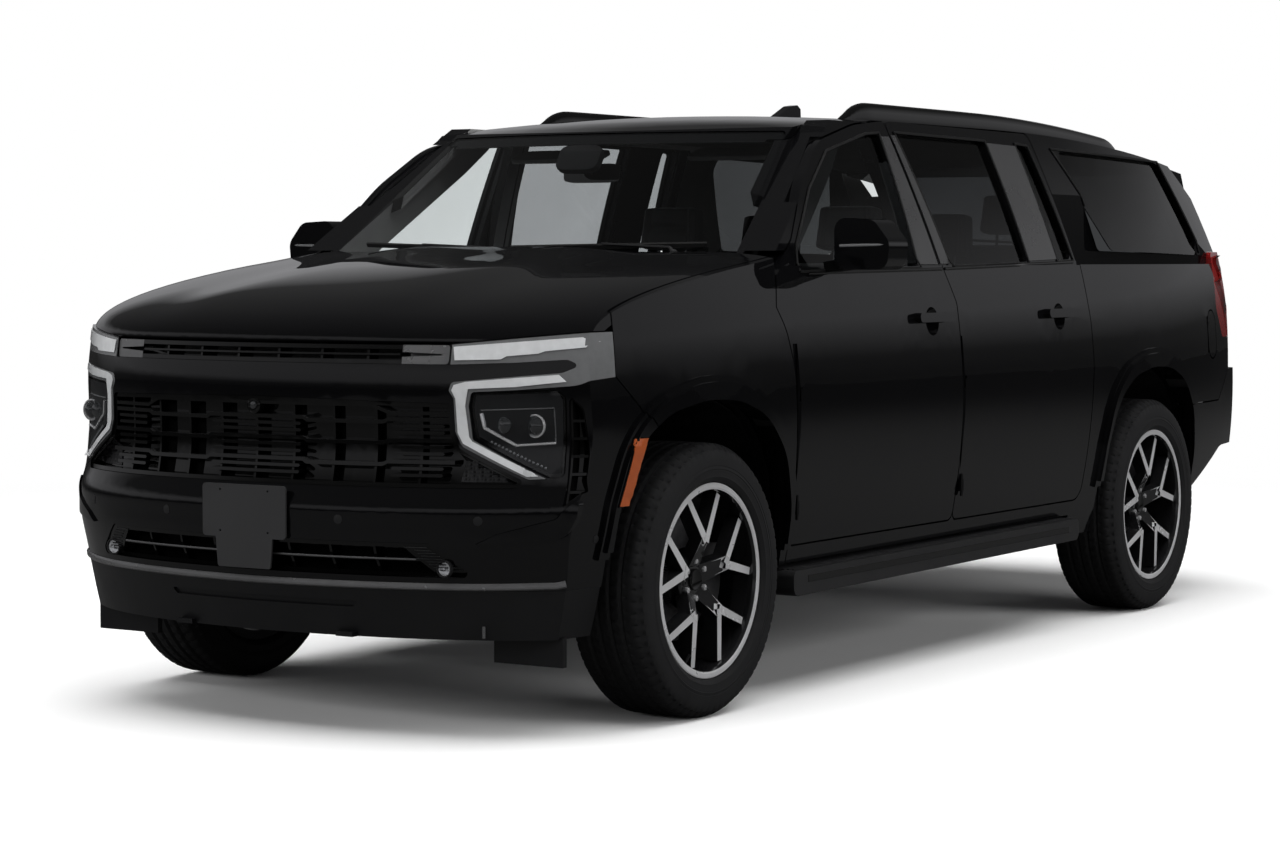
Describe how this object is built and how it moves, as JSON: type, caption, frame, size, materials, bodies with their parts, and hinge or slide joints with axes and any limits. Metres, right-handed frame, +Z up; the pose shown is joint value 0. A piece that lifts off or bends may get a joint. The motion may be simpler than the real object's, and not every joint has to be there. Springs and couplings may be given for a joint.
{
  "type": "full-size sport utility vehicle",
  "caption": "Full-size three-row sport utility vehicle with hinged doors, hood and liftgate, steered front wheels and a hollow cabin.",
  "frame": {"origin": "on the ground under the middle of the overall length and width", "axes": "-Y towards the front, +X towards the vehicle's left side, +Z up"},
  "size_m": [2.4142, 5.7478, 1.9653],
  "materials": {
    "aluminium": "machined",
    "cast_iron": "painted black",
    "glass": "polished",
    "gloss_plastic": "gloss",
    "leather": "satin",
    "matte_plastic": "matte",
    "painted_metal": "gloss",
    "tyre": "matte"
  },
  "bodies": {
    "vehicle": {"body_side_left": "painted_metal", "body_side_right": "painted_metal", "chassis_frame": "cast_iron", "cowl": "matte_plastic", "dashboard": "matte_plastic", "daytime_lamps": "gloss_plastic", "exhaust": "cast_iron", "fenders": "painted_metal", "floor_pan": "painted_metal", "front_bumper": "painted_metal", "front_seats": "leather", "front_suspension": "cast_iron", "front_valance": "matte_plastic", "grilles": "gloss_plastic", "headlamps": "gloss_plastic", "hitch_receiver": "cast_iron", "middle_seats": "leather", "plate_bracket": "matte_plastic", "powertrain": "cast_iron", "quarter_glass": "glass", "radiator": "cast_iron", "rear_bumper": "painted_metal", "rear_suspension": "cast_iron", "roof_panel": "painted_metal", "roof_rails": "painted_metal", "running_boards": "matte_plastic", "tail_lamps": "gloss_plastic", "third_seats": "leather", "wheel_liners": "matte_plastic", "windshield": "glass"},
    "front_door_left": {"front_door_left": "painted_metal", "front_door_glass_left": "glass", "mirror_left": "painted_metal"},
    "front_door_right": {"front_door_right": "painted_metal", "front_door_glass_right": "glass", "mirror_right": "painted_metal"},
    "rear_door_left": {"rear_door_left": "painted_metal", "rear_door_glass_left": "glass"},
    "rear_door_right": {"rear_door_right": "painted_metal", "rear_door_glass_right": "glass"},
    "hood": {"hood": "painted_metal"},
    "liftgate": {"liftgate": "painted_metal", "rear_glass": "glass"},
    "fuel_door": {"fuel_door": "painted_metal"},
    "knuckle_left": {"knuckle_left": "cast_iron"},
    "knuckle_right": {"knuckle_right": "cast_iron"},
    "steering_wheel": {"steering_wheel": "leather"},
    "wheel_front_left": {"wheel_front_left": "aluminium", "tyre_front_left": "tyre"},
    "wheel_front_right": {"wheel_front_right": "aluminium", "tyre_front_right": "tyre"},
    "wheel_rear_left": {"wheel_rear_left": "aluminium", "tyre_rear_left": "tyre"},
    "wheel_rear_right": {"wheel_rear_right": "aluminium", "tyre_rear_right": "tyre"}
  },
  "joints": [
    {"name": "front_door_left_hinge", "type": "hinge", "parent": "vehicle", "child": "front_door_left", "pos_m": [0.991, -1.3505, 0.96], "axis": [0, 0, -1], "range_deg": [0, 66]},
    {"name": "rear_door_left_hinge", "type": "hinge", "parent": "vehicle", "child": "rear_door_left", "pos_m": [0.991, -0.1795, 0.96], "axis": [0, 0, -1], "range_deg": [0, 68]},
    {"name": "front_door_right_hinge", "type": "hinge", "parent": "vehicle", "child": "front_door_right", "pos_m": [-0.991, -1.3505, 0.96], "axis": [0, 0, 1], "range_deg": [0, 66]},
    {"name": "rear_door_right_hinge", "type": "hinge", "parent": "vehicle", "child": "rear_door_right", "pos_m": [-0.991, -0.1795, 0.96], "axis": [0, 0, 1], "range_deg": [0, 68]},
    {"name": "hood_hinge", "type": "hinge", "parent": "vehicle", "child": "hood", "pos_m": [0, -1.466, 1.384], "axis": [-1, 0, 0], "range_deg": [0, 48]},
    {"name": "liftgate_hinge", "type": "hinge", "parent": "vehicle", "child": "liftgate", "pos_m": [0, 2.13, 1.784], "axis": [1, 0, 0], "range_deg": [0, 80]},
    {"name": "fuel_door_hinge", "type": "hinge", "parent": "vehicle", "child": "fuel_door", "pos_m": [0.943, 2.205, 1.075], "axis": [0, 0, -1], "range_deg": [0, 90]},
    {"name": "steer_left", "type": "hinge", "parent": "vehicle", "child": "knuckle_left", "pos_m": [0.805, -1.8815, 0.417], "axis": [0, 0, 1], "range_deg": [-33, 33]},
    {"name": "wheel_front_left_spin", "type": "hinge", "parent": "knuckle_left", "child": "wheel_front_left", "pos_m": [0.87, -1.8815, 0.417], "axis": [1, 0, 0], "continuous": true},
    {"name": "wheel_rear_left_spin", "type": "hinge", "parent": "vehicle", "child": "wheel_rear_left", "pos_m": [0.87, 1.5255, 0.417], "axis": [1, 0, 0], "continuous": true},
    {"name": "steer_right", "type": "hinge", "parent": "vehicle", "child": "knuckle_right", "pos_m": [-0.805, -1.8815, 0.417], "axis": [0, 0, 1], "range_deg": [-33, 33]},
    {"name": "wheel_front_right_spin", "type": "hinge", "parent": "knuckle_right", "child": "wheel_front_right", "pos_m": [-0.87, -1.8815, 0.417], "axis": [1, 0, 0], "continuous": true},
    {"name": "wheel_rear_right_spin", "type": "hinge", "parent": "vehicle", "child": "wheel_rear_right", "pos_m": [-0.87, 1.5255, 0.417], "axis": [1, 0, 0], "continuous": true},
    {"name": "steering_wheel_turn", "type": "hinge", "parent": "vehicle", "child": "steering_wheel", "pos_m": [0.38, -0.77, 1.13], "axis": [0, 0.9061, 0.423], "range_deg": [-528, 528]}
  ],
  "couplings": [
    {"joint": "steer_right", "follows": "steer_left", "ratio": 1},
    {"joint": "steering_wheel_turn", "follows": "steer_left", "ratio": 16}
  ]
}
